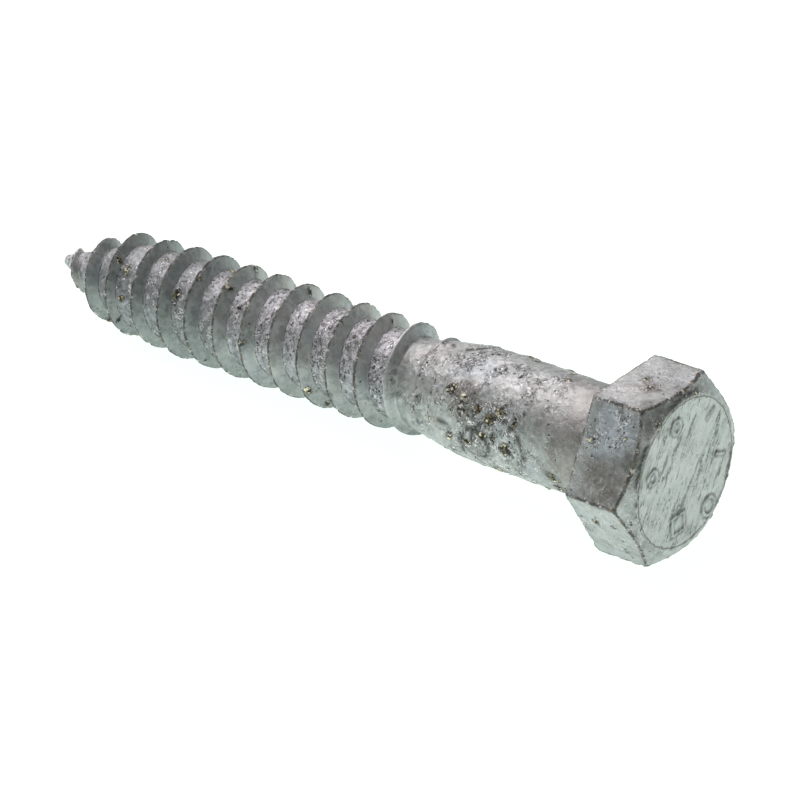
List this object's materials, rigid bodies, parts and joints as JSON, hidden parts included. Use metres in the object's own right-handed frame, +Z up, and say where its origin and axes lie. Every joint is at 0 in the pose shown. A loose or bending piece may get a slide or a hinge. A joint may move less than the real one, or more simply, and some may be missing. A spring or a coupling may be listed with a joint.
{
  "type": "hex lag screw",
  "caption": "Hexagon-head lag screw with a chamfered head, plain shank, tapered shoulder, coarse right-hand wood thread and gimlet point.",
  "frame": {"origin": "centre of the bearing face under the head, on the screw's axis", "axes": "+X along the axis towards the top of the head, the shank and point run along -X; +Z and -Z are square to two opposite head flats, +Z is up as the screw lies on a flat"},
  "size_m": [0.1094, 0.0272, 0.0234],
  "materials": {
    "galvanised_steel": "hot-dip galvanised: matte, mottled grey zinc with fine lumps and dark flecks"
  },
  "bodies": {
    "root": {"lag_screw": "galvanised_steel"}
  },
  "joints": []
}
